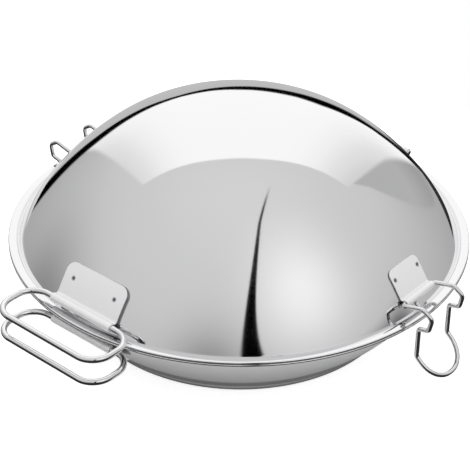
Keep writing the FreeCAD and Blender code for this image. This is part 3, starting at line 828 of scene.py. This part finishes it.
def soft_surroundings():
    """White room: seen white by the camera; in gloss, grey walls, a white panel and dark gaps."""
    world = bpy.data.worlds.new("white_room")
    bpy.context.scene.world = world
    world.use_nodes = True
    tree = world.node_tree
    tree.nodes.clear()
    place = add(tree, "ShaderNodeTexCoord")
    faced = add(tree, "ShaderNodeVectorRotate",
                {"Vector": place.outputs["Generated"], "Angle": -CAMERA_BEARING * DEG},
                rotation_type="Z_AXIS")
    unit = add(tree, "ShaderNodeVectorMath", [faced], operation="NORMALIZE")
    x, y, z = add(tree, "ShaderNodeSeparateXYZ", [unit]).outputs
    behind = add(tree, "ShaderNodeMapRange", {"Value": y, "From Min": 0.0, "From Max": 0.05})
    # Place on a plane behind the object: p across, q up
    depth = add(tree, "ShaderNodeMath", [y, 0.001], operation="MAXIMUM")
    p = add(tree, "ShaderNodeMath", [x, depth], operation="DIVIDE")
    q = add(tree, "ShaderNodeMath", [z, depth], operation="DIVIDE")

    # Grey walls, a little lighter overhead, with soft patches
    rise = add(tree, "ShaderNodeMath", [z, 0.5, 0.5], operation="MULTIPLY_ADD")
    level = ramp(add(tree, "ShaderNodeValToRGB", [rise]), WALL_TONES)
    for toward, power, gain in PATCHES:
        near = add(tree, "ShaderNodeVectorMath", [unit, Vector(toward).normalized()],
                   operation="DOT_PRODUCT")
        front = add(tree, "ShaderNodeMath", [near.outputs["Value"], 0.0], operation="MAXIMUM")
        spot = add(tree, "ShaderNodeMath", [front, power], operation="POWER")
        level = add(tree, "ShaderNodeMath", [spot, gain, level], operation="MULTIPLY_ADD")

    # What stands in the room, each in front of the one before
    for mask, tone in (
        dark_ground(tree, y, z),
        dull_screen(tree, unit, z, behind),
        white_panel(tree, unit, x, p, q, behind),
        *table_edge(tree, p, q, behind),
        overhead_gap(tree, x, y, z),
    ):
        level = add(tree, "ShaderNodeMix", {"Factor": mask, "A": level, "B": tone},
                    data_type="FLOAT")

    # Gloss sees the room, the camera sees white, and other rays get an even light
    ray = add(tree, "ShaderNodeLightPath")
    gloss = add(tree, "ShaderNodeMix", {"Factor": ray.outputs["Is Glossy Ray"],
                                        "A": EVEN_LIGHT, "B": level}, data_type="FLOAT")
    seen = add(tree, "ShaderNodeMath", [ray.outputs["Is Camera Ray"],
                                        ray.outputs["Is Transmission Ray"]],
               operation="MAXIMUM")
    light = add(tree, "ShaderNodeMix", {"Factor": seen, "A": gloss, "B": WHITE},
                data_type="FLOAT")
    back = add(tree, "ShaderNodeBackground", {"Color": light, "Strength": 1.0})
    add(tree, "ShaderNodeOutputWorld", [back])


def pale_table():
    """Round white table top: faint shadow under the pan, white to the camera elsewhere."""
    mesh = bpy.data.meshes.new("table_top")
    disc = bmesh.new()
    bmesh.ops.create_circle(disc, cap_ends=True, segments=96, radius=TABLE_RADIUS)
    disc.transform(Matrix.Translation((0, 0, -TABLE_DROP)))
    disc.to_mesh(mesh)
    disc.free()
    table = bpy.data.objects.new("table_top", mesh)
    bpy.context.scene.collection.objects.link(table)
    material, tree = new_material("matt_white_table")
    ray = add(tree, "ShaderNodeLightPath")
    place = add(tree, "ShaderNodeTexCoord").outputs["Object"]
    reach = add(tree, "ShaderNodeVectorMath", [place], operation="LENGTH").outputs["Value"]

    # Painted reflection: only in gloss the table is painted dark beyond the rim, but for its far
    # left part, so that wires and edges show dark reflections; at the base's edge it is painted
    # half dark
    bearing_sin, bearing_cos = math.sin(CAMERA_BEARING * DEG), math.cos(CAMERA_BEARING * DEG)
    zones = []
    for toward, start, end in (
        ((bearing_sin, -bearing_cos, 0.0), -0.20, -0.14),
        ((bearing_cos, bearing_sin, 0.0), 0.08, 0.14),
    ):
        side = add(tree, "ShaderNodeVectorMath", [place, toward], operation="DOT_PRODUCT")
        zones.append(add(tree, "ShaderNodeMapRange",
                         {"Value": side.outputs["Value"], "From Min": start, "From Max": end}))
    away = add(tree, "ShaderNodeMapRange", {"Value": reach, "From Min": 0.168,
                                            "From Max": 0.182})
    # Painted shade: a narrow ring at the base's edge, half dark in gloss, stands for the contact
    # shade under the cup
    close = add(tree, "ShaderNodeMapRange", {"Value": reach, "From Min": 0.1155,
                                             "From Max": 0.1140, "To Max": 0.5})
    painted_gloss_dark = add(tree, "ShaderNodeMath", zones, operation="MAXIMUM")
    painted_gloss_dark = add(tree, "ShaderNodeMath", [painted_gloss_dark, away], operation="MULTIPLY")
    painted_gloss_dark = add(tree, "ShaderNodeMath", [painted_gloss_dark, close], operation="MAXIMUM")
    painted_gloss_dark = add(tree, "ShaderNodeMath", [painted_gloss_dark, ray.outputs["Is Glossy Ray"]],
               operation="MULTIPLY")
    tone = add(tree, "ShaderNodeMix", {"Factor": painted_gloss_dark, "A": TABLE_PAINT, "B": GLOSS_PAINTED_DARK},
               data_type="FLOAT")
    paint = add(tree, "ShaderNodeBsdfDiffuse", {"Color": tone})

    # Painted reflection: a faint glowing band under the wall, seen only in gloss, lightens the
    # pan's wall; the camera sees a glow that makes the table white
    spread = add(tree, "ShaderNodeMath", [reach, BAND_SCALE], operation="MULTIPLY")
    gloss_band_glow = ramp(add(tree, "ShaderNodeValToRGB", [spread]), BAND_GLOW)
    gloss_band_glow = add(tree, "ShaderNodeMath", [gloss_band_glow, ray.outputs["Is Glossy Ray"]],
              operation="MULTIPLY")
    glow = add(tree, "ShaderNodeMath", [ray.outputs["Is Camera Ray"], CAMERA_GLOW, gloss_band_glow],
               operation="MULTIPLY_ADD")
    shine = add(tree, "ShaderNodeEmission", {"Color": (1, 1, 1, 1), "Strength": glow})
    both = add(tree, "ShaderNodeAddShader", [paint, shine])
    add(tree, "ShaderNodeOutputMaterial", [both])
    mesh.materials.append(material)


photograph_camera()
soft_surroundings()
pale_table()

bpy.context.scene.view_settings.view_transform = "Standard"

shell_steel = spun_polish("mirror_polished_spun_steel", "#EDEDEE", 0.03, 0.06, 0.1)
cup_steel = spun_polish("polished_base_cup_steel", "#E4E4E5", 0.10, 0.20, 0.3)
plate_steel = satin_sheet("mill_satin_steel_strip", "#F6F6F7", "#55565A", 0.30, 0.42)
wire_steel = drawn_wire("bright_drawn_steel_wire", "#EEEEEF", 0.08, 0.16)


def dress(piece, node, body, finish):
    """Gives a piece its finish and body, and hides the CAD node it stands for."""
    piece.data.materials.clear()
    piece.data.materials.append(finish)
    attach(piece, body)
    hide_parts(node)


dress(spun("lid_shell_spun", lid_section()), "lid_shell", "lid", shell_steel)
dress(spun("pan_shell_spun", pan_section()), "pan_shell", "pan", shell_steel)
dress(spun("base_cup_pressed", cup_section(), 256), "base_cap", "pan", cup_steel)

hold = LOOP["wire"] / 2 + LOOP["fit"] + PLATE_SHEET
lid_pin = pin_at(DOME, PAN_HEIGHT + LID_PIN_RISE, hold + LID_PIN_ROOM)
pan_pin = pin_at(WALL, PAN_HEIGHT - PAN_PIN_DROP, hold + PAN_PIN_ROOM)
hinge_pin = (RIM + HINGE_STAND, PAN_HEIGHT + SEAT_GAP / 2)
latch_hold = BAIL["wire"] / 2 + BAIL["fit"] + PLATE_SHEET
latch_pin = pin_at(DOME, PAN_HEIGHT + LATCH_PIN_RISE, latch_hold + LATCH_PIN_ROOM)

for half, pin, surface, turn, leaf in (
    ("lid", lid_pin, DOME, 1, LID_LEAF),
    ("pan", pan_pin, WALL, -1, PAN_LEAF),
):
    plate = curled_plate(half + "_strap", surface, pin, turn, HANDLE_PLATE, HANDLE_SIDE)
    dress(plate, half + "_handle_plate", half, plate_steel)
    loop = wire_ring(half + "_grip_wire", loop_line(pin, HANDLE_SIDE), LOOP["wire"])
    dress(loop, half + "_handle_loop", half, wire_steel)
    strap = curled_plate(half + "_hinge_strap", surface, hinge_pin, turn, leaf, HINGE_SIDE)
    dress(strap, half + "_hinge_leaf", half, plate_steel)
dress(hinge_rod("hinge_rod", hinge_pin), "hinge_pin", "pan", wire_steel)

for end, angle in ENDS:
    plate = curled_plate("latch_strap_" + end, DOME, latch_pin, 1, LATCH_PLATE, angle)
    dress(plate, "latch_plate_" + end, "lid", plate_steel)
    bail = wire_ring("latch_wire_" + end, bail_line(latch_pin, angle), BAIL["wire"])
    dress(bail, "latch_bail_" + end, "latch_" + end, wire_steel)

# The core is aluminium and shut inside the base; it takes the cup's finish
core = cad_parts["base_core"]
core.data.materials.clear()
core.data.materials.append(cup_steel)
